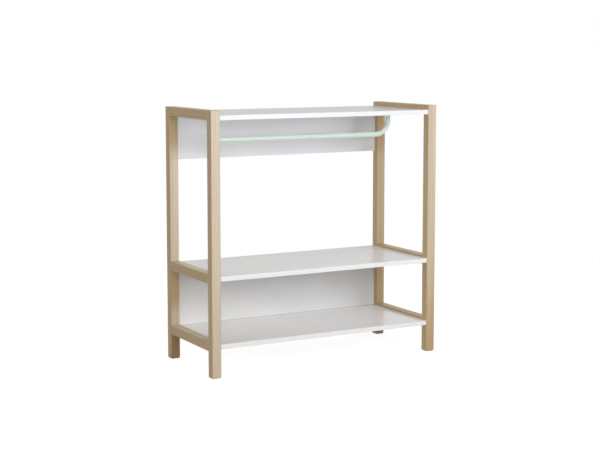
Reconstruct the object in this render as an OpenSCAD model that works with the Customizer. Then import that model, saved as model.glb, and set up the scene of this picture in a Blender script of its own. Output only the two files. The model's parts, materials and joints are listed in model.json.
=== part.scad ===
// Open changing table. Two solid-wood ladder frames carry three white boards,
// two back panels and a bent tube that clothes hangers hang on.
// The origin is the middle of the footprint, on the floor: +X right, -Y front, +Z up.
// All sizes are in millimetres.

/* [Overall size] */
// Width over the outside of both side frames
table_w = 980; // [700:1:1300]
// Depth over the front and back posts
table_d = 410; // [330:1:600]
// Height of the top of the posts above the floor
table_h = 985; // [880:1:1200]

/* [Side frames] */
// Side of the square posts, and width of the rails between them
post_w = 36; // [32:1:45]
// Height of each rail
rail_h = 36; // [34:1:50]
// Rounding of the long edges of posts and rails
arris_r = 1.5; // [0.5:0.5:3]

/* [Shelves] */
// Thickness of the three shelf boards
board_t = 18; // [16:1:22]
// Height of the bottom shelf's top face above the floor
bottom_shelf_z = 125; // [80:1:200]
// Height of the middle shelf's top face above the floor
middle_shelf_z = 377; // [320:1:500]
// How far the shelf fronts lie behind the front of the posts
shelf_recess = 4; // [1:1:12]
// Thickness of the plastic strip glued along a cut edge of a board
edging_t = 1; // [0.5:0.1:2]

/* [Back panels] */
// Thickness of both back panels
panel_t = 15; // [15:1:18]
// Height of the upper back panel
upper_panel_h = 170; // [120:1:260]

/* [Hanging bar] */
// Outside diameter of the tube
bar_d = 20; // [16:1:26]
// Wall of the tube
bar_wall = 1.5; // [1:0.1:2.5]
// Distance from a side frame's inner face to the centre of the leg beside it
bar_inset = 59; // [40:1:120]
// Distance from the top shelf's underside down to the centre of the long run
bar_drop = 86; // [70:1:140]
// Centreline radius of the two bends
bar_bend_r = 55; // [30:1:75]
// Leg of the weld fillet between tube and flange
weld_r = 2.5; // [1:0.5:3]
// Diameter of the round flange on top of each leg
flange_d = 50; // [46:1:60]
// Thickness of the flange
flange_t = 3; // [2:0.5:5]
// Number of screws in each flange
flange_screws = 3; // [3:1:4]

/* [Feet] */
// Side of the square plastic glide under each post
glide_w = 32; // [20:1:32]
// Thickness of the glide
glide_t = 2; // [2:0.5:4]
// Rounding of the glide's upright corners
glide_corner_r = 3; // [1:0.5:6]
// Rounding of the glide's lower edge
glide_r = 0.5; // [0.5:0.5:1.5]

/* [Dowels] */
// Diameter of the dowels in the side frames and the shelves
dowel_d = 8; // [6:1:10]
// Length of the dowels between rails and posts
frame_dowel_len = 40; // [24:1:50]
// Distance between the two dowels in one rail end
frame_dowel_pitch = 16; // [12:1:20]
// Length of the dowels between shelves and side frames
shelf_dowel_len = 30; // [20:1:40]
// Diameter of the dowels between back panels and posts
panel_dowel_d = 6; // [5:1:7]
// Length of the dowels between back panels and posts
panel_dowel_len = 28; // [20:1:40]
// How deep shelf and panel dowels stand in the side frames
dowel_seat = 9; // [6:1:10]
// Distance from a post's inner side to the nearest shelf dowel
shelf_dowel_inset = 27; // [10:1:40]
// Distance from a panel's top and bottom edge to its dowels
panel_dowel_inset = 30; // [15:1:50]

/* [Cam fittings] */
// Diameter of the cam
cam_d = 15; // [14:1:20]
// Distance from a board's end to the centre of its cams
cam_setback = 34; // [24:1:40]
// Distance between a shelf's dowel and the cam beside it
cam_pitch = 32; // [20:1:60]
// How far a cam reaches past the axis of its bolt
cam_reach = 4.5; // [4:0.1:5]
// Diameter of the bolt's thread in the side frame
bolt_thread_d = 5; // [4:0.5:6]
// Length of the bolt's thread in the side frame
bolt_thread_len = 10; // [8:1:10]
// Diameter of the bolt's head and collar
bolt_head_d = 7; // [6:0.5:7.5]
// Diameter of the bolt's neck behind its head
bolt_neck_d = 4; // [3:0.5:4.5]
// Diameter of the hole that the bolt runs through in the board's end
bolt_hole_d = 8; // [8:0.1:9]

/* [Screws and nails] */
// Shank diameter of the flange screws
screw_d = 4; // [3:0.5:4.5]
// Head diameter of the flange screws
screw_head_d = 7.6; // [6.5:0.1:8.5]
// Length of the flange screws over the countersunk head
screw_len = 16; // [12:1:18]
// Shank diameter of the nails that hold the glides
nail_d = 2.6; // [2:0.1:4]
// Head diameter of the nails
nail_head_d = 6; // [5:0.5:8]
// Length of the nails over the head
nail_len = 22; // [15:1:40]

/* [Hidden] */
$fn = 64;

// Fits
glue_gap = 0.05;    // around a dowel, a thread, a screw or a nail in its hole
cam_gap = 0.1;      // around a cam in its hole
hole_end_gap = 1;   // behind a dowel, a thread, a screw or a nail in a blind hole
cut = 1;            // how far a cutting solid stands out of the face it cuts
dowel_chamfer = 1;

// Colours
wood = "#d8c7a8";
dowel_wood = "#dcc79c";
white = "#f4f4f2";
mint = "#c9e6d3";
steel = "#b9bcbf";
plastic = "#8f8a80";

// Places worked out from the sizes above
frame_x = table_w / 2 - post_w / 2;             // centre of a side frame
inner_x = table_w / 2 - post_w;                 // inner face of a side frame
post_y = table_d / 2 - post_w / 2;              // centre of a front or back post
rail_len = table_d - 2 * post_w;
board_front = -table_d / 2 + shelf_recess;
board_back = table_d / 2;
shelf_dowel_y = rail_len / 2 - shelf_dowel_inset;
shelf_cam_y = shelf_dowel_y - cam_pitch;
panel_front = board_back - panel_t;
panel_y = board_back - panel_t / 2;

// Each shelf's underside, and the middle of the rails that hold it
top_shelf_bottom = table_h - rail_h;
middle_shelf_bottom = middle_shelf_z - board_t;
bottom_shelf_bottom = bottom_shelf_z - board_t;
top_rail_mid = table_h - rail_h / 2;
middle_rail_mid = middle_shelf_bottom + board_t / 2;
bottom_rail_mid = bottom_shelf_bottom + board_t / 2;
rail_mids = [top_rail_mid, middle_rail_mid, bottom_rail_mid];

// The back panels' lower and upper edges
upper_panel_low = top_shelf_bottom - upper_panel_h;
lower_panel_low = bottom_shelf_z;
upper_panel_span = [upper_panel_low, top_shelf_bottom];
lower_panel_span = [lower_panel_low, middle_shelf_bottom];

// The hanging bar
leg_x = inner_x - bar_inset;
leg_top = top_shelf_bottom - flange_t;
run_z = top_shelf_bottom - bar_drop;
screw_circle_r = (bar_d + flange_d) / 4;        // midway between tube and rim

sides = [-1, 1];                                // left and right, or front and back

// ---------------------------------------------------------------- profiles

// A rectangle with rounded corners, about the origin.
module rounded_rect(w, h, r) {
    square([w - 2 * r, h], center = true);
    square([w, h - 2 * r], center = true);
    for (sx = sides, sy = sides)
        translate([sx * (w / 2 - r), sy * (h / 2 - r)]) circle(r);
}

// A stepped rod along +X from the origin, one stretch after another: [[length, diameter], ...].
module stepped_rod(steps, i = 0, at = 0) {
    if (i < len(steps)) {
        translate([at, 0, 0]) rotate([0, 90, 0]) cylinder(h = steps[i][0], d = steps[i][1]);
        stepped_rod(steps, i + 1, at + steps[i][0]);
    }
}

// A dowel along X, centred, with chamfered ends.
module dowel(d, length) {
    rotate([0, 90, 0]) rotate_extrude() polygon([
        [0, -length / 2], [d / 2 - dowel_chamfer, -length / 2],
        [d / 2, -length / 2 + dowel_chamfer], [d / 2, length / 2 - dowel_chamfer],
        [d / 2 - dowel_chamfer, length / 2], [0, length / 2],
    ]);
}

// A round hole along X from x = 0 inwards to +depth, and out through the face at x = 0.
module x_hole(d, depth) {
    translate([-cut, 0, 0]) rotate([0, 90, 0]) cylinder(h = depth + cut, d = d);
}

// Repeats its child at each of a list of places.
module at_each(places) {
    for (p = places) translate(p) children();
}

// ---------------------------------------------------------------- joints

// Frame dowels: two in each rail end, along Y, half in the rail and half in the post.
frame_dowel_places = [for (z = rail_mids, sy = sides, sz = sides)
    [0, sy * rail_len / 2, z + sz * frame_dowel_pitch / 2]];

module frame_dowels(side) {
    translate([side * frame_x, 0, 0]) at_each(frame_dowel_places)
        rotate([0, 0, 90]) dowel(dowel_d, frame_dowel_len);
}

// The holes for those dowels, cut in posts and rails alike.
module frame_dowel_holes(side) {
    translate([side * frame_x, 0, 0]) at_each(frame_dowel_places)
        rotate([90, 0, 0])
            cylinder(h = frame_dowel_len + 2 * hole_end_gap, d = dowel_d + 2 * glue_gap, center = true);
}

// What joins a board's ends to the side frames, at x = +-inner_x.
// places: [y, z] of each one on the frame's inner face.
module end_dowels(d, length, places) {
    for (side = sides, p = places)
        translate([side * (inner_x + dowel_seat - length / 2), p[0], p[1]]) dowel(d, length);
}

module end_dowel_holes(d, length, places) {
    hole_d = d + 2 * glue_gap;
    for (side = sides, p = places)
        translate([side * inner_x, p[0], p[1]]) scale_x(side) {
            x_hole(hole_d, dowel_seat + hole_end_gap);
            scale_x(-1) x_hole(hole_d, length - dowel_seat + hole_end_gap);
        }
}

// Turns what points along +X to point along -X when side is -1.
module scale_x(side) {
    rotate([0, 0, side < 0 ? 180 : 0]) children();
}

// A cam bolt: its thread stands in the frame, its collar seats on the frame's face
// and its head lies in the cam.
bolt_collar_t = 2;
bolt_shank_d = bolt_thread_d;
bolt_head_t = 2.5;
bolt_neck_len = cam_d / 2 + 1;                  // as far as the neck runs out of the cam
bolt_shank_len = cam_setback - bolt_collar_t - bolt_neck_len;

module cam_bolt() {
    scale_x(-1) stepped_rod([
        [bolt_collar_t, bolt_head_d], [bolt_shank_len, bolt_shank_d],
        [bolt_neck_len, bolt_neck_d], [bolt_head_t, bolt_head_d],
    ]);
    stepped_rod([[bolt_thread_len, bolt_thread_d]]);
}

module cam_bolts(places) {
    for (side = sides, p = places)
        translate([side * inner_x, p[0], p[1]]) scale_x(side) cam_bolt();
}

// The bolt's holes: a pilot in the frame and a clearance hole from the board's end to the cam.
module cam_bolt_holes(places) {
    for (side = sides, p = places)
        translate([side * inner_x, p[0], p[1]]) scale_x(side) {
            x_hole(bolt_thread_d + 2 * glue_gap, bolt_thread_len + hole_end_gap);
            scale_x(-1) x_hole(bolt_hole_d, cam_setback);
        }
}

// A cam, its face at z = 0 and its body upwards, mouth towards +X, for a board t thick.
// A cross recess takes the screwdriver and a stepped mouth takes the bolt's head and neck.
cross_w = 1.8;
cross_len = 8;
cross_depth = 3;
mouth_gap = 0.5;

module cam(t) {
    difference() {
        cylinder(h = t / 2 + cam_reach, d = cam_d - 2 * cam_gap);
        for (turn = [0, 90]) rotate(turn)
            translate([-cross_len / 2, -cross_w / 2, -cut]) cube([cross_len, cross_w, cross_depth + cut]);
        translate([-bolt_head_t - mouth_gap, 0, t / 2]) rotate([0, 90, 0])
            cylinder(h = bolt_head_t + 2 * mouth_gap, d = bolt_head_d + 2 * mouth_gap);
        translate([0, 0, t / 2]) rotate([0, 90, 0])
            cylinder(h = cam_d, d = bolt_neck_d + 2 * mouth_gap);
    }
}

module cam_hole(t) {
    translate([0, 0, -cut]) cylinder(h = t / 2 + cam_reach + cam_gap + cut, d = cam_d);
}

// ---------------------------------------------------------------- side frames

module post(side, end) {
    height = table_h - glide_t;
    difference() {
        translate([side * frame_x, end * post_y, glide_t + height / 2]) intersection() {
            linear_extrude(height, center = true) rounded_rect(post_w, post_w, arris_r);
            rotate([90, 0, 0]) linear_extrude(post_w, center = true) rounded_rect(post_w, height, arris_r);
            rotate([90, 0, 90]) linear_extrude(post_w, center = true) rounded_rect(post_w, height, arris_r);
        }
        frame_dowel_holes(side);
        nail_holes();
        if (end > 0) {
            panel_joint_holes(upper_panel_span);
            panel_joint_holes(lower_panel_span);
        }
    }
}

module rail(side, mid_z, shelf_bottom) {
    difference() {
        translate([side * frame_x, 0, mid_z]) rotate([90, 0, 0])
            linear_extrude(rail_len, center = true) rounded_rect(post_w, rail_h, arris_r);
        frame_dowel_holes(side);
        shelf_joint_holes(shelf_bottom);
    }
}

module left_front_post() { color(wood) post(-1, -1); }
module left_back_post() { color(wood) post(-1, 1); }
module right_front_post() { color(wood) post(1, -1); }
module right_back_post() { color(wood) post(1, 1); }
module left_top_rail() { color(wood) rail(-1, top_rail_mid, top_shelf_bottom); }
module left_middle_rail() { color(wood) rail(-1, middle_rail_mid, middle_shelf_bottom); }
module left_bottom_rail() { color(wood) rail(-1, bottom_rail_mid, bottom_shelf_bottom); }
module right_top_rail() { color(wood) rail(1, top_rail_mid, top_shelf_bottom); }
module right_middle_rail() { color(wood) rail(1, middle_rail_mid, middle_shelf_bottom); }
module right_bottom_rail() { color(wood) rail(1, bottom_rail_mid, bottom_shelf_bottom); }
module left_frame_dowels() { color(dowel_wood) frame_dowels(-1); }
module right_frame_dowels() { color(dowel_wood) frame_dowels(1); }

// ---------------------------------------------------------------- shelves

// Where a shelf's dowels and cams meet the side frames: [y, z].
function shelf_dowel_places(bottom) = [for (s = sides) [s * shelf_dowel_y, bottom + board_t / 2]];
function shelf_cam_places(bottom) = [for (s = sides) [s * shelf_cam_y, bottom + board_t / 2]];

module shelf_joint_holes(bottom) {
    end_dowel_holes(dowel_d, shelf_dowel_len, shelf_dowel_places(bottom));
    cam_bolt_holes(shelf_cam_places(bottom));
}

// Places its child at each of a shelf's four cams, its mouth towards the board's end.
module at_shelf_cams(bottom) {
    for (side = sides, s = sides)
        translate([side * (inner_x - cam_setback), s * shelf_cam_y, bottom]) scale_x(side) children();
}

module shelf(bottom) {
    difference() {
        translate([-inner_x, board_front + edging_t, bottom])
            cube([2 * inner_x, board_back - board_front - 2 * edging_t, board_t]);
        shelf_joint_holes(bottom);
        at_shelf_cams(bottom) cam_hole(board_t);
    }
}

// An edge strip along X on a board t thick: it starts at y = 0 and its rounded face is at y = -edging_t.
module edging(t) {
    rotate([90, 0, 90]) linear_extrude(2 * inner_x, center = true) {
        translate([-edging_t, edging_t]) square([edging_t, t - 2 * edging_t]);
        for (z = [edging_t, t - edging_t]) intersection() {
            translate([0, z]) circle(edging_t);
            translate([-edging_t, 0]) square([edging_t, t]);
        }
    }
}

module shelf_edging(bottom) {
    translate([0, board_front + edging_t, bottom]) edging(board_t);
    translate([0, board_back - edging_t, bottom]) rotate([0, 0, 180]) edging(board_t);
}

module shelf_dowels(bottom) { end_dowels(dowel_d, shelf_dowel_len, shelf_dowel_places(bottom)); }
module shelf_cams(bottom) { at_shelf_cams(bottom) cam(board_t); }
module shelf_bolts(bottom) { cam_bolts(shelf_cam_places(bottom)); }

module top_shelf() {
    color(white) difference() {
        shelf(top_shelf_bottom);
        bar_screw_holes();
    }
}
module middle_shelf() { color(white) shelf(middle_shelf_bottom); }
module bottom_shelf() { color(white) shelf(bottom_shelf_bottom); }
module top_shelf_edging() { color(white) shelf_edging(top_shelf_bottom); }
module middle_shelf_edging() { color(white) shelf_edging(middle_shelf_bottom); }
module bottom_shelf_edging() { color(white) shelf_edging(bottom_shelf_bottom); }
module top_shelf_dowels() { color(dowel_wood) shelf_dowels(top_shelf_bottom); }
module middle_shelf_dowels() { color(dowel_wood) shelf_dowels(middle_shelf_bottom); }
module bottom_shelf_dowels() { color(dowel_wood) shelf_dowels(bottom_shelf_bottom); }
module top_shelf_cams() { color(steel) shelf_cams(top_shelf_bottom); }
module middle_shelf_cams() { color(steel) shelf_cams(middle_shelf_bottom); }
module bottom_shelf_cams() { color(steel) shelf_cams(bottom_shelf_bottom); }
module top_shelf_bolts() { color(steel) shelf_bolts(top_shelf_bottom); }
module middle_shelf_bolts() { color(steel) shelf_bolts(middle_shelf_bottom); }
module bottom_shelf_bolts() { color(steel) shelf_bolts(bottom_shelf_bottom); }

// ---------------------------------------------------------------- back panels

// Where a panel's dowels and cams meet the posts: [y, z]. span is its lower and upper edge.
function panel_dowel_places(span) =
    [for (z = [span[0] + panel_dowel_inset, span[1] - panel_dowel_inset]) [panel_y, z]];
function panel_cam_places(span) = [[panel_y, (span[0] + span[1]) / 2]];

module panel_joint_holes(span) {
    end_dowel_holes(panel_dowel_d, panel_dowel_len, panel_dowel_places(span));
    cam_bolt_holes(panel_cam_places(span));
}

// Places its child at a panel's two cams, face on the back, mouth towards the panel's end.
module at_panel_cams(span) {
    for (side = sides)
        translate([side * (inner_x - cam_setback), board_back, (span[0] + span[1]) / 2])
            rotate([90, 0, 0]) scale_x(side) children();
}

// low_strip is the thickness of the edge strip under the panel, if it has one.
module back_panel(span, low_strip = 0) {
    low = span[0] + low_strip;
    difference() {
        translate([-inner_x, panel_front, low]) cube([2 * inner_x, panel_t, span[1] - low]);
        panel_joint_holes(span);
        at_panel_cams(span) cam_hole(panel_t);
    }
}

module panel_dowels(span) { end_dowels(panel_dowel_d, panel_dowel_len, panel_dowel_places(span)); }

module upper_back_panel() { color(white) back_panel(upper_panel_span, edging_t); }
module lower_back_panel() { color(white) back_panel(lower_panel_span); }
module upper_panel_edging() {
    color(white) translate([0, board_back, upper_panel_low + edging_t]) rotate([90, 0, 0]) edging(panel_t);
}
module upper_panel_dowels() { color(dowel_wood) panel_dowels(upper_panel_span); }
module lower_panel_dowels() { color(dowel_wood) panel_dowels(lower_panel_span); }
module upper_panel_cams() { color(steel) at_panel_cams(upper_panel_span) cam(panel_t); }
module lower_panel_cams() { color(steel) at_panel_cams(lower_panel_span) cam(panel_t); }
module upper_panel_bolts() { color(steel) cam_bolts(panel_cam_places(upper_panel_span)); }
module lower_panel_bolts() { color(steel) cam_bolts(panel_cam_places(lower_panel_span)); }

// ---------------------------------------------------------------- hanging bar

module tube_ring() {
    difference() {
        circle(d = bar_d);
        circle(d = bar_d - 2 * bar_wall);
    }
}

// One end of the bar: the upright leg, its weld fillet and the quarter bend, for the right side.
module bar_end() {
    bend_z = run_z + bar_bend_r;
    translate([leg_x, 0, bend_z]) linear_extrude(leg_top - bend_z) tube_ring();
    translate([leg_x, 0, leg_top - weld_r]) rotate_extrude() translate([bar_d / 2, 0]) difference() {
        square(weld_r);
        translate([weld_r, 0]) circle(weld_r);
    }
    translate([leg_x - bar_bend_r, 0, bend_z]) rotate([-90, 0, 0])
        rotate_extrude(angle = 90) translate([bar_bend_r, 0]) tube_ring();
}

module hanging_bar() {
    color(mint) {
        bar_end();
        mirror([1, 0, 0]) bar_end();
        translate([0, 0, run_z]) rotate([0, 90, 0])
            linear_extrude(2 * (leg_x - bar_bend_r), center = true) tube_ring();
    }
}

// Places its child at each screw of one flange, on the flange's lower face.
module at_flange_screws(side) {
    for (i = [0 : flange_screws - 1])
        translate([side * leg_x, 0, leg_top]) rotate(i * 360 / flange_screws)
            translate([screw_circle_r, 0, 0]) children();
}

// A countersunk wood screw, its head's face at z = 0 and its point upwards. gap widens it all round.
screw_head_h = (screw_head_d - screw_d) / 2;
screw_tip = 3;

module screw_body(gap = 0) {
    rotate_extrude() polygon([
        [0, gap > 0 ? -cut : 0], [screw_head_d / 2 + gap, gap > 0 ? -cut : 0], [screw_head_d / 2 + gap, 0],
        [screw_d / 2 + gap, screw_head_h], [screw_d / 2 + gap, screw_len - screw_tip],
        [0, screw_len + gap],
    ]);
}

screw_cross_w = 1.2;
screw_cross_len = 4;
screw_cross_depth = 1.2;

module bar_screw() {
    difference() {
        screw_body();
        for (turn = [0, 90]) rotate(turn)
            translate([-screw_cross_len / 2, -screw_cross_w / 2, -cut])
                cube([screw_cross_len, screw_cross_w, screw_cross_depth + cut]);
    }
}

module bar_screw_holes() {
    for (side = sides) at_flange_screws(side) screw_body(glue_gap);
}

module bar_flange(side) {
    difference() {
        translate([side * leg_x, 0, leg_top]) cylinder(h = flange_t, d = flange_d);
        bar_screw_holes();
    }
}

module left_bar_flange() { color(mint) bar_flange(-1); }
module right_bar_flange() { color(mint) bar_flange(1); }
module bar_screws() {
    color(steel) for (side = sides) at_flange_screws(side) bar_screw();
}

// ---------------------------------------------------------------- feet

// A nail, its head's face at z = nail_lift and its point upwards. gap widens it all round.
nail_lift = 0.4;        // how far the nail's head lies above the floor
nail_head_t = 0.8;
nail_tip = 4;

module nail(gap = 0) {
    rotate_extrude() polygon([
        [0, gap > 0 ? -cut : nail_lift], [nail_head_d / 2 + gap, gap > 0 ? -cut : nail_lift],
        [nail_head_d / 2 + gap, nail_lift + nail_head_t], [nail_d / 2 + gap, nail_lift + nail_head_t],
        [nail_d / 2 + gap, nail_lift + nail_len - nail_tip], [0, nail_lift + nail_len + gap],
    ]);
}

module at_each_foot() {
    for (side = sides, end = sides) translate([side * frame_x, end * post_y, 0]) children();
}

module nail_holes() { at_each_foot() nail(glue_gap); }

module glide(side, end) {
    translate([side * frame_x, end * post_y, 0]) difference() {
        intersection() {
            linear_extrude(glide_t) rounded_rect(glide_w, glide_w, glide_corner_r);
            translate([0, 0, glide_t]) rotate([90, 0, 0])
                linear_extrude(glide_w, center = true) rounded_rect(glide_w, 2 * glide_t, glide_r);
            translate([0, 0, glide_t]) rotate([90, 0, 90])
                linear_extrude(glide_w, center = true) rounded_rect(glide_w, 2 * glide_t, glide_r);
        }
        nail(glue_gap);
    }
}

module left_front_glide() { color(plastic) glide(-1, -1); }
module left_back_glide() { color(plastic) glide(-1, 1); }
module right_front_glide() { color(plastic) glide(1, -1); }
module right_back_glide() { color(plastic) glide(1, 1); }
module glide_nails() { color(steel) at_each_foot() nail(); }

// ---------------------------------------------------------------- the assembly

left_front_post();
left_back_post();
right_front_post();
right_back_post();
left_top_rail();
left_middle_rail();
left_bottom_rail();
right_top_rail();
right_middle_rail();
right_bottom_rail();
left_frame_dowels();
right_frame_dowels();
top_shelf();
middle_shelf();
bottom_shelf();
top_shelf_edging();
middle_shelf_edging();
bottom_shelf_edging();
top_shelf_dowels();
middle_shelf_dowels();
bottom_shelf_dowels();
top_shelf_cams();
middle_shelf_cams();
bottom_shelf_cams();
top_shelf_bolts();
middle_shelf_bolts();
bottom_shelf_bolts();
upper_back_panel();
lower_back_panel();
upper_panel_edging();
upper_panel_dowels();
lower_panel_dowels();
upper_panel_cams();
lower_panel_cams();
upper_panel_bolts();
lower_panel_bolts();
hanging_bar();
left_bar_flange();
right_bar_flange();
bar_screws();
left_front_glide();
left_back_glide();
right_front_glide();
right_back_glide();
glide_nails();
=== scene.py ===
import json
import math

import bmesh
import bpy
import numpy as np
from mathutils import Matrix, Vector


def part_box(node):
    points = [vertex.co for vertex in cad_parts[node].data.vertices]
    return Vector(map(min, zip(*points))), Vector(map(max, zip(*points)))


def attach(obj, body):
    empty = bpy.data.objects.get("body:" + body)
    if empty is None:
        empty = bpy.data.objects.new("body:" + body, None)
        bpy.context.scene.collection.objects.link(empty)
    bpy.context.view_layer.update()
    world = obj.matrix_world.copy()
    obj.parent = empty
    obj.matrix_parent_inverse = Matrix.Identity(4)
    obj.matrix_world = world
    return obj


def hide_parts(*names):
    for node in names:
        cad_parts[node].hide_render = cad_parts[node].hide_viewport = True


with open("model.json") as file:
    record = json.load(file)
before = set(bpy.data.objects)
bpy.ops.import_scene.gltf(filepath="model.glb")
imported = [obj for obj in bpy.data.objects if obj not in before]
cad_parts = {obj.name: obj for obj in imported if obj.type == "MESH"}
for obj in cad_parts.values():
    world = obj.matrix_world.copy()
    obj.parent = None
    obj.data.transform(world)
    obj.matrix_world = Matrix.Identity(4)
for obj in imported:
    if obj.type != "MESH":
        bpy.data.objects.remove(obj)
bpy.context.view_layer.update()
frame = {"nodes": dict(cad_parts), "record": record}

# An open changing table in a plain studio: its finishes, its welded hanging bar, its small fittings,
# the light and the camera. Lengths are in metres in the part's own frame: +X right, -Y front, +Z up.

SLOTS = {row["node"]: row["material_slot"] for row in frame["record"]["subparts"]}
WHITE = (1.0, 1.0, 1.0, 1.0)
BLACK = (0.0, 0.0, 0.0, 1.0)


# ---------------------------------------------------------------- shader maths

class Value:
    """A socket of a node tree, used in plain arithmetic: each operation on it adds one Math node."""

    def __init__(self, finish, socket):
        self.finish = finish
        self.socket = socket

    def maths(self, operation, *numbers):
        """A Math node of the given operation on these numbers or sockets."""
        return self.finish.node("ShaderNodeMath", {"operation": operation}, dict(enumerate(numbers)))

    def __add__(self, other):
        return self.maths("ADD", self, other)

    def __radd__(self, other):
        return self.maths("ADD", other, self)

    def __sub__(self, other):
        return self.maths("SUBTRACT", self, other)

    def __rsub__(self, other):
        return self.maths("SUBTRACT", other, self)

    def __mul__(self, other):
        return self.maths("MULTIPLY", self, other)

    def __rmul__(self, other):
        return self.maths("MULTIPLY", other, self)

    def __truediv__(self, other):
        return self.maths("DIVIDE", self, other)

    def __pow__(self, other):
        return self.maths("POWER", self, other)

    def fraction(self):
        """What is left over the whole number below."""
        return self.maths("FRACT", self)

    def larger(self, other):
        """The larger of two."""
        return self.maths("MAXIMUM", self, other)

    def between(self, low, high):
        """0 below low, 1 above high and a smooth step from one to the other."""
        values = {0: self, 1: low, 2: high}
        return self.finish.node("ShaderNodeMapRange", {"interpolation_type": "SMOOTHSTEP"}, values)


class Finish:
    """The node tree of a material or of the world."""

    def __init__(self, tree):
        self.tree = tree
        tree.nodes.clear()

    def node(self, kind, settings=None, values=None, output=0):
        """A new node: its settings first, a ramp's stops among them, then its sockets by name or number."""
        made = self.tree.nodes.new(kind)
        for name, setting in (settings or {}).items():
            if name == "stops":
                self.set_stops(made.color_ramp, setting)
            else:
                setattr(made, name, setting)
        for key, value in (values or {}).items():
            if isinstance(value, Value):
                self.tree.links.new(value.socket, made.inputs[key])
            else:
                made.inputs[key].default_value = value
        if not made.outputs:
            return None
        return Value(self, made.outputs[output])

    @staticmethod
    def set_stops(ramp, stops):
        """Gives a colour ramp its stops: (place, colour) pairs in order."""
        while len(ramp.elements) < len(stops):
            ramp.elements.new(1.0)
        for element, (place, colour) in zip(ramp.elements, stops):
            element.position = place
            element.color = colour

    def place(self):
        """The Object coordinates as three numbers: x, y and z."""
        here = self.node("ShaderNodeTexCoord", output=3)
        return [self.node("ShaderNodeSeparateXYZ", None, {0: here}, output=i) for i in range(3)]

    def vector(self, x, y, z):
        """Three numbers as one vector."""
        return self.node("ShaderNodeCombineXYZ", None, {0: x, 1: y, 2: z})

    def noise(self, vector, detail=2.0, roughness=0.5):
        """Smooth noise from 0 to 1 at a vector."""
        values = {"Vector": vector, "Scale": 1.0, "Detail": detail, "Roughness": roughness}
        return self.node("ShaderNodeTexNoise", {"noise_dimensions": "3D"}, values)

    def blend(self, share, first, second):
        """The first colour where share is 0 and the second where it is 1."""
        settings = {"data_type": "RGBA"}
        return self.node("ShaderNodeMix", settings, {0: share, 6: first, 7: second}, output=2)

    def relief(self, height, depth):
        """A Normal from a height of 0 to 1 that stands for a depth in metres."""
        values = {"Height": height, "Distance": depth, "Strength": 1.0}
        return self.node("ShaderNodeBump", None, values)

    def surface(self, **values):
        """Closes the tree with one Principled shader; underscores stand for the blanks in socket names."""
        named = {name.replace("_", " "): value for name, value in values.items()}
        shader = self.node("ShaderNodeBsdfPrincipled", None, named)
        self.node("ShaderNodeOutputMaterial", None, {0: shader})


def new_material(name):
    """An empty material and the Finish that fills it."""
    material = bpy.data.materials.new(name)
    material.use_nodes = True
    return material, Finish(material.node_tree)


# ---------------------------------------------------------------- finishes

# Every finish takes its material's name, the low and high corners of the CAD node and a seed.
#
# Some tones of the wood and of the white boards and strips depend on the piece or on the place on it.
# They aren't known wear: they stand in for soft light and shade that the lamps don't give, and they
# stay the same under any other light.

SKIN_FROM = 0.0008
SKIN_TO = 0.0018


def skin(depth):
    """1 on a face of a piece and 0 more than a skin's thickness under it, from the depth under that face."""
    return 1 - depth.between(SKIN_FROM, SKIN_TO)


OAK_PALE = (0.65, 0.495, 0.295, 1)
OAK_WARM = (0.58, 0.41, 0.22, 1)
OAK_STRAW = (0.59, 0.435, 0.23, 1)
OAK_LATE_WOOD_AND_SHADE = (0.41, 0.27, 0.135, 1)
OAK_PORE = (0.30, 0.195, 0.10, 1)
OAK_LEFT_SHADE = (0.51, 0.345, 0.14, 1)
OAK_RIGHT_LIGHT = (0.72, 0.55, 0.35, 1)
OAK_PAINTED_LIGHT = (0.775, 0.668, 0.53, 1)
RING_WIDTH = 0.0024
STREAK_WIDTH = 0.009
NARROW_WIDTH = 0.0045

# How much painted light and sheen the front skin of the wood takes: a share at the middle of the
# footprint, what it loses or gains per metre to the right, to the back, upwards and to the right and back
# together, and what it loses low on the right.
PAINTED_LIGHT = 0.48
PAINTED_LIGHT_LESS_RIGHT = 0.45
PAINTED_LIGHT_LESS_BACK = 0.55
PAINTED_LIGHT_MORE_UP = 0.36
PAINTED_LIGHT_LESS_RIGHT_BACK = 1.2
PAINTED_LIGHT_LESS_LOW_RIGHT = 0.55

# The shade that a board keeps on the back posts starts SHADE_REACH under it and is full from SHADE_FULL
# under it up to the board.
BOARD_UNDERSIDES = [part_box(board)[0].z for board in ("top_shelf", "middle_shelf", "bottom_shelf")]
SHADE_REACH = 0.19
SHADE_FULL = 0.09

# From where to where a tone grows: from the middle to the back, from the middle to the right, and the
# heights over which the painted shade on the feet ends.
TO_BACK = (0.0, 0.15)
TO_RIGHT = (0.0, 0.45)
BACK_FOOT_TOP = (0.10, 0.11)
RIGHT_FOOT_TOP = (0.0, 0.3)

# Shares of painted tones in the wood's own colour: painted shade on the right front foot, painted shade
# or light on the sides of the frames, and painted light on the upper sides of two rails.
RIGHT_FOOT_SHADE = 0.25
PAINTED_SIDE_SHARE = 0.4
RAIL_TOP_PAINTED_LIGHT = {"oak_left_middle_rail": 0.3, "oak_left_bottom_rail": 0.6}


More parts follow.
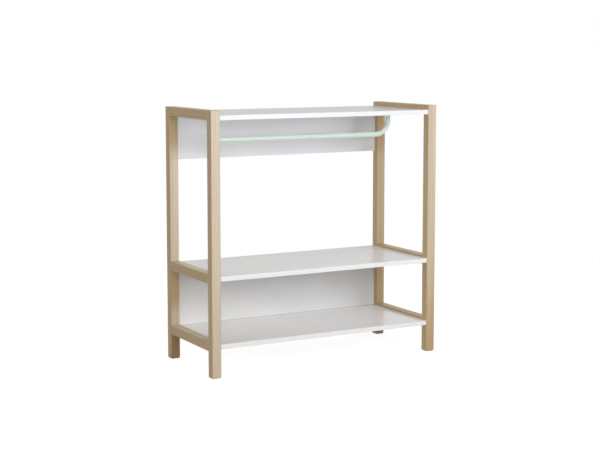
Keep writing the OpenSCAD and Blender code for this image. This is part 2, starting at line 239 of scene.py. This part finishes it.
def front_tones(x, y, z):
    """How much painted light and sheen the front skin of the wood takes, and how much painted shade, at a
    place.

    The painted light is strongest in front, on the left and high up, and weaker on the back posts close
    under each board, where a board's painted shade falls. Painted shade lies on the feet, at the back and
    on the right.
    """
    painted_light = PAINTED_LIGHT - x * PAINTED_LIGHT_LESS_RIGHT - y * PAINTED_LIGHT_LESS_BACK + z * PAINTED_LIGHT_MORE_UP
    painted_light = painted_light - x * y * PAINTED_LIGHT_LESS_RIGHT_BACK
    painted_light = painted_light - (x - z).between(*TO_RIGHT) * PAINTED_LIGHT_LESS_LOW_RIGHT
    behind = y.between(*TO_BACK)
    for board in BOARD_UNDERSIDES:
        under = z.between(board - SHADE_REACH, board - SHADE_FULL) * (1 - z.between(board, board + 0.002))
        painted_light = painted_light - behind * under

    back_foot_shade = behind * (1 - z.between(*BACK_FOOT_TOP))
    right_foot_shade = x.between(*TO_RIGHT) * (1 - z.between(*RIGHT_FOOT_TOP))
    return painted_light, back_foot_shade + right_foot_shade * RIGHT_FOOT_SHADE


def oak(name, corners, seed):
    """Pale oak under a clear matt lacquer, with its grain along the piece's longest side.

    The growth rings are cylinders round a pith that lies beside the piece: ring number = distance from
    the pith / ring width, bent by slow noise along the grain. Late wood is the dark last part of a ring.
    Broad streaks turn the colour from straw to a warmer tone, narrower ones are a shade darker, and
    pores are short dark lines. The skin that looks to the front takes a paler, greyer painted light and
    sheen, and painted shade at the feet, see front_tones(). Away from it the left frame takes a deeper,
    yellower painted shade and the right one a lighter painted tone, and the upper sides of the left
    frame's two lower rails take a paler painted light.
    """
    low, high = (np.array(c) for c in corners)
    along = int(np.argmax(high - low))
    across = [axis for axis in range(3) if axis != along]
    middle = (low + high) / 2
    random = np.random.default_rng(seed)
    pith_turn = random.uniform(0, 2 * math.pi)
    pith_far = random.uniform(0.07, 0.13)
    shift = random.uniform(-50, 50, 3)

    material, f = new_material(name)
    here = f.place()
    u = here[across[0]] - float(middle[across[0]])
    v = here[across[1]] - float(middle[across[1]])
    w = here[along] - float(middle[along])

    sway = f.noise(f.vector(u * 6 + shift[0], v * 6 + shift[1], w * 2.2 + shift[2]), detail=1.0)
    wander = f.noise(f.vector(u * 3 + shift[1], v * 3 + shift[2], w * 1.3 + shift[0]), detail=1.0)
    from_pith_u = u + sway * 0.012 - pith_far * math.cos(pith_turn)
    from_pith_v = v + wander * 0.012 - pith_far * math.sin(pith_turn)
    distance = (from_pith_u * from_pith_u + from_pith_v * from_pith_v) ** 0.5
    uneven = f.noise(f.vector(distance * 90 + shift[0], shift[1], w * 0.6), detail=1.0)
    ring = (distance / RING_WIDTH + uneven * 2.5).fraction()
    late_wood = ring.between(0.35, 0.93) * (1 - ring.between(0.95, 1.0))

    broad = f.noise(f.vector(u / STREAK_WIDTH + shift[0], v / STREAK_WIDTH, w * 1.1 + shift[1]), detail=2.0)
    fine = f.noise(f.vector(u * 900 + shift[2], v * 900, w * 9), detail=3.0, roughness=0.6)
    cloud = f.noise(f.vector(u * 25, v * 25 + shift[0], w * 5 + shift[2]), detail=2.0)
    pores = f.noise(f.vector(u * 2600, v * 2600 + shift[1], w * 85), detail=1.0).between(0.60, 0.70)
    narrow = f.noise(f.vector(u / NARROW_WIDTH + shift[2], v / NARROW_WIDTH + shift[0], w * 0.7), detail=1.0)

    front_skin = skin(here[1] - float(low[1]))
    # Painted light and sheen on the front skin, weaker under the boards, and painted shade at the feet.
    painted_light, painted_shade = front_tones(*here)
    # Painted shade on the left frame's sides and painted light on the right frame's, away from the front
    # skin.
    painted_side_tone = OAK_LEFT_SHADE if "left" in name else OAK_RIGHT_LIGHT

    tone = f.blend(broad.between(0.36, 0.64), OAK_STRAW, OAK_WARM)
    tone = f.blend(cloud.between(0.3, 0.75) * 0.55, tone, OAK_PALE)
    tone = f.blend(fine.between(0.35, 0.75) * 0.28, tone, OAK_PALE)
    tone = f.blend((1 - front_skin) * PAINTED_SIDE_SHARE, tone, painted_side_tone)
    tone = f.blend(front_skin * painted_light, tone, OAK_PAINTED_LIGHT)
    # Painted light on the upper sides of two of the left frame's rails.
    if name in RAIL_TOP_PAINTED_LIGHT:
        top_skin = skin(float(high[2]) - here[2])
        tone = f.blend(top_skin * RAIL_TOP_PAINTED_LIGHT[name], tone, OAK_PAINTED_LIGHT)
    # Painted shade at the feet, at the back and on the right.
    tone = f.blend(front_skin * painted_shade, tone, OAK_LATE_WOOD_AND_SHADE)
    tone = f.blend(narrow.between(0.48, 0.72) * 0.42, tone, OAK_LATE_WOOD_AND_SHADE)
    tone = f.blend(late_wood * (0.18 + fine * 0.22), tone, OAK_LATE_WOOD_AND_SHADE)
    tone = f.blend(pores * (0.45 - 0.25 * late_wood), tone, OAK_PORE)

    hollow = 1 - pores * 0.7 - late_wood * 0.15 - fine * 0.1
    f.surface(
        Base_Color=tone,
        Roughness=0.36 + pores * 0.2 + fine * 0.08,
        Normal=f.relief(hollow, 0.00008),
        Specular_IOR_Level=0.35,
    )
    return material


BEECH_LIGHT = (0.72, 0.57, 0.38, 1)
BEECH_DARK = (0.56, 0.40, 0.24, 1)


def beech(name, corners, seed):
    """Raw beech of the dowels: fine streaks along the dowels and many short darker flecks.

    The dowels of the side frames lie along Y and all others along X, so the streaks are drawn out along
    the side along which the node's own dowels lie.
    """
    material, f = new_material(name)
    x, y, z = f.place()
    lies_along_y = "frame" in name
    across, along = (x, y) if lies_along_y else (y, x)
    fibre = f.noise(f.vector(across * 1100 + seed, along * 30, z * 1100), detail=3.0)
    fleck = f.noise(f.vector(across * 1500, along * 220 + seed, z * 1500), detail=1.0).between(0.6, 0.68)
    tone = f.blend(fibre.between(0.3, 0.7), BEECH_LIGHT, BEECH_DARK)
    tone = f.blend(fleck * 0.5, tone, BEECH_DARK)
    f.surface(
        Base_Color=tone,
        Roughness=0.7 + fleck * 0.1,
        Normal=f.relief(fibre, 0.00006),
    )
    return material


BOARD_WHITE = (0.95, 0.952, 0.955, 1)
BOARD_SHADE = (0.93, 0.932, 0.938, 1)
WARM_LIT_WHITE = (0.98, 0.962, 0.958, 1)
WARM_LIT_SHADE = (0.965, 0.945, 0.94, 1)
COOL_LIT_WHITE = (0.94, 0.95, 0.99, 1)
COOL_LIT_SHADE = (0.925, 0.937, 0.98, 1)
PANEL_SHADE_WHITE = (0.82, 0.82, 0.815, 1)
UNDER_SHELF_SHADE_WHITE = (0.68, 0.665, 0.645, 1)
BOARD_CORE = (0.50, 0.46, 0.41, 1)
BOARD_SHINE = 0.36
WARM_SHINE = 0.5

# From where to where the painted shade on both panels grows to the right, and the painted shade on the
# lower one grows upwards under the middle shelf. That is weakest at its left end, and grows to the right
# too.
PANEL_SHADE_TO_RIGHT = (0.15, 0.42)
UNDER_SHELF_SHADE_UPWARDS = (0.22, 0.31)
UNDER_SHELF_SHADE_TO_RIGHT = (-0.45, 0.1)
UNDER_SHELF_SHADE_LEFT = 0.35
UNDER_SHELF_SHADE_MORE_RIGHT = 0.4


def white_board(name, corners, seed):
    """Satin white melamine: a pressed skin with a very fine pearl relief.

    The upper panel takes a cooler painted light, and the bottom shelf a warmer, brighter painted light and a
    shinier coat. Both panels take a painted shade towards their right end, and the lower one's front a
    greyer painted shade close under the middle shelf. It stands on the bottom shelf, and the brown core
    shows along its sawn lower edge.
    """
    material, f = new_material(name)
    x, y, z = f.place()
    pearl = f.noise(f.vector(x * 700, y * 700, z * 700), detail=2.0)
    cloud = f.noise(f.vector(x * 9 + seed, y * 9, z * 9), detail=3.0)
    white, shade, shine = BOARD_WHITE, BOARD_SHADE, BOARD_SHINE
    # Painted light: a cooler white on the upper panel, a warmer and brighter one on the bottom shelf.
    if "upper" in name:
        white, shade = COOL_LIT_WHITE, COOL_LIT_SHADE
    if "bottom" in name:
        white, shade, shine = WARM_LIT_WHITE, WARM_LIT_SHADE, WARM_SHINE
    tone = f.blend(cloud.between(0.35, 0.7), white, shade)
    # Painted shade towards the right end of both panels.
    if "panel" in name:
        tone = f.blend(x.between(*PANEL_SHADE_TO_RIGHT), tone, PANEL_SHADE_WHITE)
    if "lower" in name:
        low = corners[0]
        front_skin = skin(y - float(low[1]))
        sawn_skin = skin(z - float(low[2]))
        # Painted shade on the lower panel's front, close under the middle shelf.
        under_shelf_shade = front_skin * (UNDER_SHELF_SHADE_LEFT + x.between(*UNDER_SHELF_SHADE_TO_RIGHT) * UNDER_SHELF_SHADE_MORE_RIGHT)
        tone = f.blend(z.between(*UNDER_SHELF_SHADE_UPWARDS) * under_shelf_shade, tone, UNDER_SHELF_SHADE_WHITE)
        tone = f.blend(sawn_skin, tone, BOARD_CORE)
    f.surface(
        Base_Color=tone,
        Roughness=0.50 + cloud * 0.06,
        Normal=f.relief(pearl, 0.000012),
        Specular_IOR_Level=0.08,
        Coat_Weight=shine,
        Coat_Roughness=0.13,
    )
    return material


EDGE_WHITE = (0.965, 0.965, 0.965, 1)
EDGE_SHADE = (0.94, 0.94, 0.94, 1)
TOP_EDGE_WHITE = (0.925, 0.925, 0.925, 1)
TOP_EDGE_SHADE = (0.90, 0.90, 0.90, 1)


def white_edging(name, corners, seed):
    """Plastic edge strip: the same white, a little shinier, with faint scraper lines along the strip.

    The strip of the top board is a little darker, which keeps it just under full white in this light.
    """
    material, f = new_material(name)
    x, y, z = f.place()
    scrape = f.noise(f.vector(x * 14 + seed, y * 5200, z * 5200), detail=2.0)
    white, shade = EDGE_WHITE, EDGE_SHADE
    if "top" in name:
        white, shade = TOP_EDGE_WHITE, TOP_EDGE_SHADE
    f.surface(
        Base_Color=f.blend(scrape.between(0.3, 0.75) * 0.6, white, shade),
        Roughness=0.30 + scrape * 0.1,
        Normal=f.relief(scrape, 0.00001),
        Specular_IOR_Level=0.5,
    )
    return material


MINT = (0.83, 0.95, 0.865, 1)
MINT_DEEP = (0.75, 0.91, 0.815, 1)


def mint_paint(name, corners, seed):
    """Mint-green powder coat: satin, with the orange-peel relief of melted powder."""
    material, f = new_material(name)
    x, y, z = f.place()
    peel = f.noise(f.vector(x * 620, y * 620, z * 620), detail=1.0)
    dust = f.noise(f.vector(x * 2600 + seed, y * 2600, z * 2600), detail=1.0)
    f.surface(
        Base_Color=f.blend(peel.between(0.3, 0.7) * 0.7 + dust * 0.3, MINT, MINT_DEEP),
        Roughness=0.30 + dust * 0.08,
        Normal=f.relief(peel, 0.00002),
        Specular_IOR_Level=0.35,
    )
    return material


ZINC = (0.56, 0.57, 0.585, 1)
ZINC_DULL = (0.42, 0.43, 0.44, 1)


def zinc(name, corners, seed):
    """Die-cast zinc of the cams: dull, with the fine grain and the grey flow marks of the casting."""
    material, f = new_material(name)
    x, y, z = f.place()
    flow = f.noise(f.vector(x * 180 + seed, y * 180, z * 180), detail=3.0)
    grain = f.noise(f.vector(x * 2400, y * 2400, z * 2400), detail=2.0)
    f.surface(
        Base_Color=f.blend(flow.between(0.35, 0.7), ZINC, ZINC_DULL),
        Roughness=0.38 + flow * 0.18 + grain * 0.06,
        Normal=f.relief(grain, 0.00002),
        Metallic=1.0,
    )
    return material


STEEL = (0.66, 0.66, 0.67, 1)
STEEL_WARM = (0.60, 0.585, 0.55, 1)


def steel(name, corners, seed):
    """Zinc-plated steel of bolts, screws and nails: bright, with patches of a faint yellow passivation."""
    material, f = new_material(name)
    x, y, z = f.place()
    patch = f.noise(f.vector(x * 240 + seed, y * 240, z * 240), detail=2.0)
    grain = f.noise(f.vector(x * 3000, y * 3000, z * 3000), detail=1.0)
    f.surface(
        Base_Color=f.blend(patch.between(0.4, 0.7), STEEL, STEEL_WARM),
        Roughness=0.26 + grain * 0.12,
        Normal=f.relief(grain, 0.00001),
        Metallic=1.0,
    )
    return material


NYLON = (0.30, 0.28, 0.25, 1)
NYLON_RUBBED = (0.36, 0.34, 0.31, 1)


def glide_plastic(name, corners, seed):
    """Hard grey-brown nylon of the glides: matt, finely spark-eroded."""
    material, f = new_material(name)
    x, y, z = f.place()
    spark = f.noise(f.vector(x * 1700, y * 1700 + seed, z * 1700), detail=2.0)
    f.surface(
        Base_Color=f.blend(spark.between(0.35, 0.7), NYLON, NYLON_RUBBED),
        Roughness=0.5 + spark * 0.15,
        Normal=f.relief(spark, 0.00003),
    )
    return material


FINISHES = {
    "oak": oak,
    "dowel_wood": beech,
    "white_board": white_board,
    "white_edging": white_edging,
    "mint_paint": mint_paint,
    "zinc": zinc,
    "steel": steel,
    "glide_plastic": glide_plastic,
}


def finish_piece(piece, node):
    """Gives a piece the finish of a CAD node's slot, drawn for that node's own place."""
    slot = SLOTS[node]
    seed = sorted(SLOTS).index(node) + 1
    piece.data.materials.clear()
    piece.data.materials.append(FINISHES[slot](f"{slot}_{node}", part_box(node), seed))
    return slot


# ---------------------------------------------------------------- meshes

def closed_both_ways(name, points):
    """A mesh from a grid of points whose rows and columns both close on themselves."""
    rows, columns = points.shape[:2]
    index = np.arange(rows * columns).reshape(rows, columns)
    right = np.roll(index, -1, axis=1)
    below = np.roll(index, -1, axis=0)
    corner = np.roll(right, -1, axis=0)
    quads = np.stack([index, below, corner, right], axis=-1).reshape(-1, 4)
    mesh = bpy.data.meshes.new(name)
    mesh.from_pydata(points.reshape(-1, 3).tolist(), [], quads.tolist())
    mesh.shade_smooth()
    piece = bpy.data.objects.new(name, mesh)
    bpy.context.scene.collection.objects.link(piece)
    return piece


def stand_for(piece, node):
    """Makes a new piece take a CAD node's place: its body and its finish."""
    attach(piece, "root")
    finish_piece(piece, node)
    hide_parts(node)


TUBE_R = 0.010
TUBE_WALL = 0.0015
WELD = 0.0025
BEND_R = 0.055
WELD_RIPPLES = 34
RIPPLE_DEPTH = 0.10
RIPPLE_BEND = 7
BEAD_HOLLOW = 1.4

# Rows of points along the bead, the leg, a bend and half the run, and points round the tube.
BEAD_ROWS = 14
LEG_ROWS = 8
BEND_ROWS = 40
HALF_RUN_ROWS = 30
TUBE_SIDES = 96


def hanging_bar():
    """The bent tube with its two weld beads.

    Centreline: down the left leg, round a quarter bend, along the run, round a second quarter bend and up
    the right leg, as a function of the distance s along it. The outer radius is the tube's own plus the
    bead, which falls from the weld's leg at the flange to nothing over that same length and carries
    crescent ripples; the inner wall comes back along the same line, so the mesh closes on itself.
    """
    low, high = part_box("hanging_bar")
    leg_x = high.x - TUBE_R - WELD
    top = high.z
    leg = top - (low.z + TUBE_R) - BEND_R
    bend = BEND_R * math.pi / 2
    run = 2 * (leg_x - BEND_R)
    length = 2 * (leg + bend) + run

    first_half = np.concatenate([
        np.linspace(0, WELD, BEAD_ROWS),
        np.linspace(WELD, leg, LEG_ROWS)[1:],
        leg + np.linspace(0, bend, BEND_ROWS)[1:],
        leg + bend + np.linspace(0, run / 2, HALF_RUN_ROWS)[1:],
    ])
    s = np.concatenate([first_half, (length - first_half[::-1])[1:]])
    turn = np.linspace(0, 2 * math.pi, TUBE_SIDES + 1)[:-1]

    def wall(s, radius):
        """Points at a radius round the centreline, one row for each s."""
        down = np.clip(s, 0, leg)
        first = np.clip(s - leg, 0, bend) / BEND_R
        across = np.clip(s - leg - bend, 0, run)
        second = np.clip(s - leg - bend - run, 0, bend) / BEND_R
        up = np.clip(s - leg - 2 * bend - run, 0, leg)
        x = -leg_x + BEND_R * (1 - np.cos(first)) + across + BEND_R * np.sin(second)
        z = top - down - BEND_R * np.sin(first) + BEND_R * (1 - np.cos(second)) + up
        heading = (first + second)[:, None]
        side = radius * np.cos(turn)
        return np.stack([
            x[:, None] + side * np.cos(heading),
            radius * np.sin(turn) + 0 * heading,
            z[:, None] + side * np.sin(heading),
        ], axis=-1)

    from_flange = np.minimum(s, length - s)[:, None] / WELD
    rise = np.clip(1 - from_flange, 0, 1)
    crescent = np.cos(WELD_RIPPLES * turn + RIPPLE_BEND * (from_flange - 0.5) ** 2)
    outer = TUBE_R + WELD * rise ** BEAD_HOLLOW * (1 + RIPPLE_DEPTH * crescent * (1 - rise))
    inner = np.full_like(outer, TUBE_R - TUBE_WALL)
    points = np.concatenate([wall(s, outer), wall(s[::-1], inner)])
    piece = closed_both_ways("welded_hanging_bar", points)
    stand_for(piece, "hanging_bar")


SAME_POINT = 0.000002
SAME_FACE = math.radians(0.5)
SHARP_EDGE = math.radians(35)


def softened(node, width):
    """A copy of a CAD piece with rounded sharp edges: doubles merged, flat faces joined, then a Bevel."""
    mesh = frame["nodes"][node].data.copy()
    shape = bmesh.new()
    shape.from_mesh(mesh)
    bmesh.ops.remove_doubles(shape, verts=shape.verts, dist=SAME_POINT)
    bmesh.ops.dissolve_limit(shape, angle_limit=SAME_FACE, verts=shape.verts, edges=shape.edges)
    shape.to_mesh(mesh)
    shape.free()
    mesh.shade_smooth()
    mesh.set_sharp_from_angle(angle=SHARP_EDGE)
    piece = bpy.data.objects.new("softened_" + node, mesh)
    bpy.context.scene.collection.objects.link(piece)
    bevel = piece.modifiers.new("soft edges", "BEVEL")
    bevel.width = width
    bevel.segments = 2
    bevel.limit_method = "ANGLE"
    bevel.angle_limit = SHARP_EDGE
    stand_for(piece, node)


# ---------------------------------------------------------------- studio

FLOOR_RADIUS = 60.0
FLOOR_SIDES = 128
FLOOR_WHITE = (0.66, 0.66, 0.66, 1)
FLOOR_LIFT = (0.77, 0.77, 0.77, 1)
SHADOW_REACH = 1.0
FLOOR_BLENDS_OUT = 3.2


def seen_directly(f):
    """1 for rays from the camera and those seen in or through gloss, 0 for light that falls on things."""
    names = ("Is Camera Ray", "Is Glossy Ray", "Is Transmission Ray")
    from_camera, in_gloss, through = (f.node("ShaderNodeLightPath", output=name) for name in names)
    return from_camera.larger(in_gloss.larger(through))


def studio_floor():
    """A wide round white floor that the shadow falls on.

    Seen directly it has a lift, and beyond the shadow's reach it blends into the white of the air. The
    light that it throws on things is that of a plain white floor all over.
    """
    turn = np.linspace(0, 2 * math.pi, FLOOR_SIDES + 1)[:-1]
    rim = FLOOR_RADIUS * np.stack([np.cos(turn), np.sin(turn), 0 * turn], axis=1)
    mesh = bpy.data.meshes.new("studio_floor")
    mesh.from_pydata(rim.tolist(), [], [list(range(len(rim)))])
    floor = bpy.data.objects.new("studio_floor", mesh)
    bpy.context.scene.collection.objects.link(floor)
    material, f = new_material("studio_floor")
    x, y, _ = f.place()
    seen = seen_directly(f)
    far = ((x * x + y * y) ** 0.5).between(SHADOW_REACH, FLOOR_BLENDS_OUT)
    f.surface(
        Base_Color=f.blend(seen * far, FLOOR_WHITE, BLACK),
        Roughness=0.9,
        Specular_IOR_Level=0.0,
        Emission_Color=f.blend(seen, BLACK, f.blend(far, FLOOR_LIFT, WHITE)),
        Emission_Strength=1.0,
    )
    mesh.materials.append(material)


AMBIENT = (1.0, 0.97, 0.93, 1)
AMBIENT_LEVEL = 0.21


def studio_air():
    """White where it is seen, and a plain even level for the light that it gives."""
    world = bpy.data.worlds.new("studio_air")
    bpy.context.scene.world = world
    world.use_nodes = True
    f = Finish(world.node_tree)
    light = f.node("ShaderNodeBackground", None, {0: AMBIENT, 1: AMBIENT_LEVEL})
    seen = f.node("ShaderNodeBackground", None, {0: WHITE, 1: 1.0})
    both = f.node("ShaderNodeMixShader", None, {0: seen_directly(f), 1: light, 2: seen})
    f.node("ShaderNodeOutputWorld", None, {0: both})


CLEAR = (0.97, 0.98, 1.0)
COOL = (0.96, 0.975, 1.0)
SKY = (0.94, 0.96, 1.0)
HIGH = (0.975, 0.99, 1.0)
AMBER = (1.0, 0.955, 0.76)
WARM = (1.0, 0.97, 0.93)
PALE = (1.0, 0.99, 0.97)

# Each lamp: its place, where it is aimed, its width, height and power, and its colour.
LAMPS = {
    "near_softbox": ((0.66, -2.1, 1.28), (0.0, 0.0, 0.9), 0.6, 0.6, 13.6, CLEAR),
    "near_left_softbox": ((-1.45, -2.3, 1.1), (0.0, 0.0, 0.8), 0.6, 0.6, 6.0, SKY),
    "front_softbox": ((0.3, -4.5, 1.95), (0.0, 0.0, 1.275), 2.0, 0.8, 12.5, COOL),
    "low_softbox": ((1.3, -4.25, 1.0), (0.0, 0.0, 0.8), 0.9, 0.5, 13.0, COOL),
    "high_softbox": ((0.78, -4.43, 2.9), (0.0, 0.0, 1.75), 2.0, 1.2, 18.0, HIGH),
    "high_left_softbox": ((-1.9, -4.08, 2.9), (0.0, 0.0, 1.75), 2.0, 1.2, 29.5, SKY),
    "left_softbox": ((-4.23, -1.54, 1.95), (0.0, 0.0, 1.275), 2.0, 0.8, 24.0, AMBER),
    "right_softbox": ((4.4, 1.6, 1.95), (0.0, 0.0, 1.275), 2.0, 0.8, 24.0, WARM),
    "back_softbox": ((0.0, 6.7, 2.55), (0.0, 0.0, 0.5), 4.0, 4.0, 95.0, PALE),
}


def softbox(name, place, aim, width, height, power, colour):
    """A rectangular lamp that lights and is reflected, and that the camera itself doesn't see."""
    light = bpy.data.lights.new(name, "AREA")
    light.shape = "RECTANGLE"
    light.size = width
    light.size_y = height
    light.energy = power
    light.color = colour
    lamp = bpy.data.objects.new(name, light)
    lamp.location = place
    lamp.rotation_euler = Vector(np.subtract(aim, place)).to_track_quat("-Z", "Y").to_euler()
    lamp.visible_camera = False
    bpy.context.scene.collection.objects.link(lamp)


CAMERA_FAR = 5.283
CAMERA_SIDE = math.radians(29.09)
CAMERA_HEIGHT = 1.218
CAMERA_TURN = math.radians(28.99)
CAMERA_DIP = math.radians(6.30)
CAMERA_LENS = 81.3
CAMERA_SENSOR = 36.0
CAMERA_SHIFT = -0.05


def camera():
    """A long lens in front of the left front corner, a little above the table and dipped towards it."""
    lens = bpy.data.cameras.new("camera")
    lens.lens = CAMERA_LENS
    lens.sensor_width = CAMERA_SENSOR
    lens.shift_y = CAMERA_SHIFT
    body = bpy.data.objects.new("camera", lens)
    body.location = (
        -CAMERA_FAR * math.sin(CAMERA_SIDE),
        -CAMERA_FAR * math.cos(CAMERA_SIDE),
        CAMERA_HEIGHT,
    )
    body.rotation_euler = (math.pi / 2 - CAMERA_DIP, 0.0, -CAMERA_TURN)
    bpy.context.scene.collection.objects.link(body)
    bpy.context.scene.camera = body


# ---------------------------------------------------------------- the scene

for node in sorted(SLOTS):
    finish_piece(frame["nodes"][node], node)

hanging_bar()

SOFT_EDGES = {
    "left_bar_flange": 0.0004,
    "right_bar_flange": 0.0004,
    "bar_screws": 0.0001,
    "top_shelf_cams": 0.00025,
    "middle_shelf_cams": 0.00025,
    "bottom_shelf_cams": 0.00025,
    "upper_panel_cams": 0.00025,
    "lower_panel_cams": 0.00025,
}
for node, width in SOFT_EDGES.items():
    softened(node, width)

studio_floor()
studio_air()
for name, settings in LAMPS.items():
    softbox(name, *settings)
camera()

bpy.context.scene.view_settings.view_transform = "Standard"
